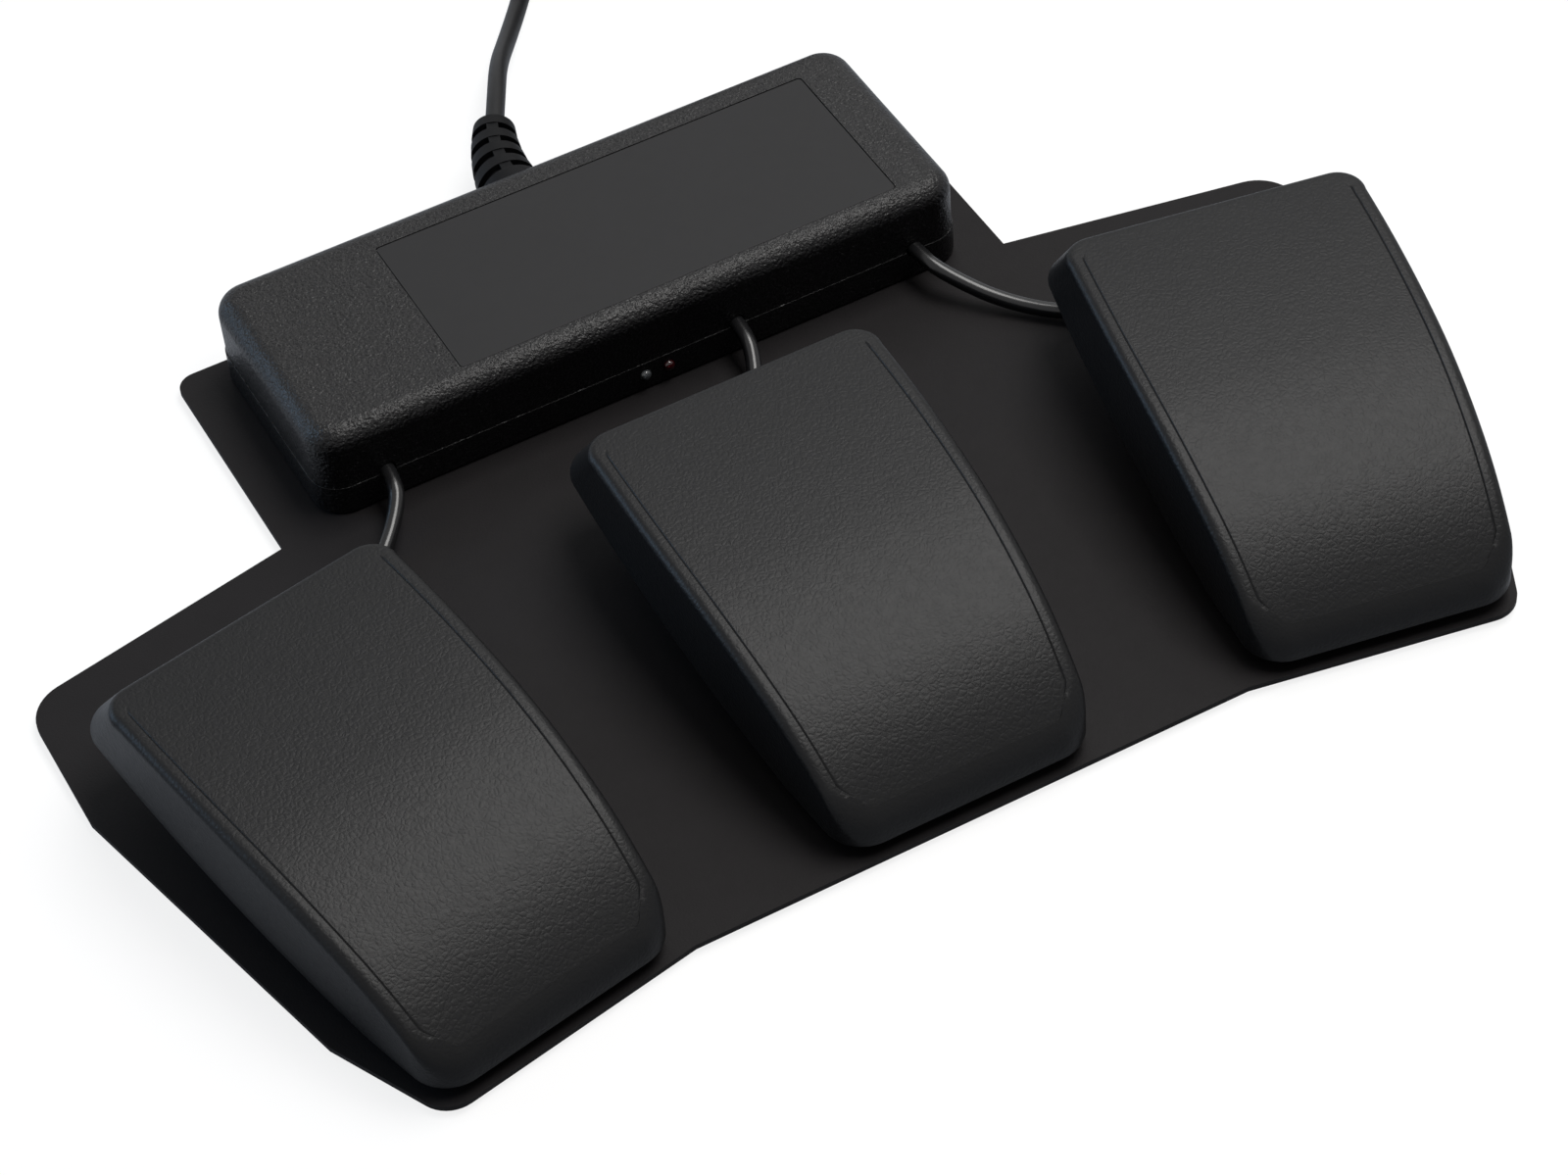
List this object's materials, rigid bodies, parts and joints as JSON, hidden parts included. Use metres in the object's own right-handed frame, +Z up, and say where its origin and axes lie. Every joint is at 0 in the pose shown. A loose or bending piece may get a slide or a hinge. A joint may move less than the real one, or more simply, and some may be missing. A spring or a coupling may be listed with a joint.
{
  "type": "usb foot pedal switch",
  "caption": "Foot switch for a desk: sprung rocking pedals fanned out on a black steel plate, leads to a black control box behind them, and a usb cord in a coil.",
  "frame": {"origin": "centre of the plate's footprint on the floor, at the underside of the rubber mat", "axes": "+X to the user's right along the row of pedals, +Y away from the user towards the control box and the cord, +Z up"},
  "size_m": [0.344, 0.3879, 0.043],
  "materials": {
    "mat_rubber": "matt ribbed black rubber",
    "plate_paint": "dark grey powder coat, fine texture",
    "screw_steel": "zinc-plated steel",
    "box_plastic": "textured dark moulded plastic",
    "panel_plastic": "plain dark grey film, satin",
    "board_green": "green solder mask",
    "chip_black": "matt black epoxy",
    "header_white": "off-white moulded nylon",
    "led_clear": "clear moulded epoxy",
    "led_red": "dark red moulded epoxy",
    "relief_rubber": "matt dark grey moulded rubber",
    "cord_rubber": "satin dark grey cord jacket",
    "plug_plastic": "satin dark grey overmould",
    "plug_steel": "nickel-plated steel",
    "contact_brass": "plated brass",
    "cap_plastic": "black moulded plastic, leather grain",
    "pedal_base_plastic": "matt black moulded plastic",
    "pin_steel": "ground steel",
    "spring_steel": "bright spring steel",
    "switch_plastic": "dark grey phenolic",
    "button_plastic": "red moulded plastic",
    "lead_plastic": "glossy black jacket"
  },
  "bodies": {
    "base": {"anti_slip_mat": "mat_rubber", "base_plate": "plate_paint", "pedal_screws": "screw_steel", "module_screws": "screw_steel", "switch_screws": "screw_steel", "module_base": "box_plastic", "module_lid": "box_plastic", "label_panel": "panel_plastic", "circuit_board": "board_green", "board_screws": "screw_steel", "controller_chip": "chip_black", "lead_headers": "header_white", "usb_header": "header_white", "led_clear": "led_clear", "led_red": "led_red", "strain_relief": "relief_rubber", "cord_tail": "cord_rubber", "usb_cord": "cord_rubber", "usb_cord_coil": "cord_rubber", "usb_plug_grip": "plug_plastic", "usb_plug_shell": "plug_steel", "usb_plug_tongue": "header_white", "usb_plug_contacts": "contact_brass", "pedal_base_left": "pedal_base_plastic", "hinge_pin_left": "pin_steel", "return_spring_left": "spring_steel", "switch_case_left": "switch_plastic", "switch_terminals_left": "contact_brass", "bump_stops_left": "mat_rubber", "pedal_lead_left": "lead_plastic", "pedal_base_middle": "pedal_base_plastic", "hinge_pin_middle": "pin_steel", "return_spring_middle": "spring_steel", "switch_case_middle": "switch_plastic", "switch_terminals_middle": "contact_brass", "bump_stops_middle": "mat_rubber", "pedal_lead_middle": "lead_plastic", "pedal_base_right": "pedal_base_plastic", "hinge_pin_right": "pin_steel", "return_spring_right": "spring_steel", "switch_case_right": "switch_plastic", "switch_terminals_right": "contact_brass", "bump_stops_right": "mat_rubber", "pedal_lead_right": "lead_plastic"},
    "pedal_left": {"pedal_cap_left": "cap_plastic"},
    "lever_left": {"switch_lever_left": "spring_steel"},
    "button_left": {"switch_button_left": "button_plastic"},
    "pedal_middle": {"pedal_cap_middle": "cap_plastic"},
    "lever_middle": {"switch_lever_middle": "spring_steel"},
    "button_middle": {"switch_button_middle": "button_plastic"},
    "pedal_right": {"pedal_cap_right": "cap_plastic"},
    "lever_right": {"switch_lever_right": "spring_steel"},
    "button_right": {"switch_button_right": "button_plastic"}
  },
  "joints": [
    {"name": "pedal_hinge_left", "type": "hinge", "parent": "base", "child": "pedal_left", "pos_m": [-0.1125, -0.07732, 0.012], "axis": [-0.9826, -0.1857, 0], "range_deg": [0, 8], "stiffness_Nm_per_rad": 1.2, "springref_deg": -5.73, "deforming": ["return_spring_left"]},
    {"name": "lever_hinge_left", "type": "hinge", "parent": "base", "child": "lever_left", "pos_m": [-0.12318, -0.02082, 0.0231], "axis": [0.9826, 0.1857, 0], "range_deg": [0, 14]},
    {"name": "button_slide_left", "type": "slide", "parent": "base", "child": "button_left", "axis": [0, 0, -1], "range_m": [0, 0.0016]},
    {"name": "pedal_hinge_middle", "type": "hinge", "parent": "base", "child": "pedal_middle", "pos_m": [0, -0.06986, 0.012], "axis": [-1, 0, 0], "range_deg": [0, 8], "stiffness_Nm_per_rad": 1.2, "springref_deg": -5.73, "deforming": ["return_spring_middle"]},
    {"name": "lever_hinge_middle", "type": "hinge", "parent": "base", "child": "lever_middle", "pos_m": [0, -0.01236, 0.0231], "axis": [1, 0, 0], "range_deg": [0, 14]},
    {"name": "button_slide_middle", "type": "slide", "parent": "base", "child": "button_middle", "axis": [0, 0, -1], "range_m": [0, 0.0016]},
    {"name": "pedal_hinge_right", "type": "hinge", "parent": "base", "child": "pedal_right", "pos_m": [0.1125, -0.07732, 0.012], "axis": [-0.9826, 0.1857, 0], "range_deg": [0, 8], "stiffness_Nm_per_rad": 1.2, "springref_deg": -5.73, "deforming": ["return_spring_right"]},
    {"name": "lever_hinge_right", "type": "hinge", "parent": "base", "child": "lever_right", "pos_m": [0.12318, -0.02082, 0.0231], "axis": [0.9826, -0.1857, 0], "range_deg": [0, 14]},
    {"name": "button_slide_right", "type": "slide", "parent": "base", "child": "button_right", "axis": [0, 0, -1], "range_m": [0, 0.0016]}
  ],
  "couplings": [
    {"joint": "lever_hinge_left", "follows": "pedal_hinge_left", "ratio": 1.74},
    {"joint": "button_slide_left", "follows": "pedal_hinge_left", "m_per_rad": 0.0114},
    {"joint": "lever_hinge_middle", "follows": "pedal_hinge_middle", "ratio": 1.74},
    {"joint": "button_slide_middle", "follows": "pedal_hinge_middle", "m_per_rad": 0.0114},
    {"joint": "lever_hinge_right", "follows": "pedal_hinge_right", "ratio": 1.74},
    {"joint": "button_slide_right", "follows": "pedal_hinge_right", "m_per_rad": 0.0114}
  ]
}
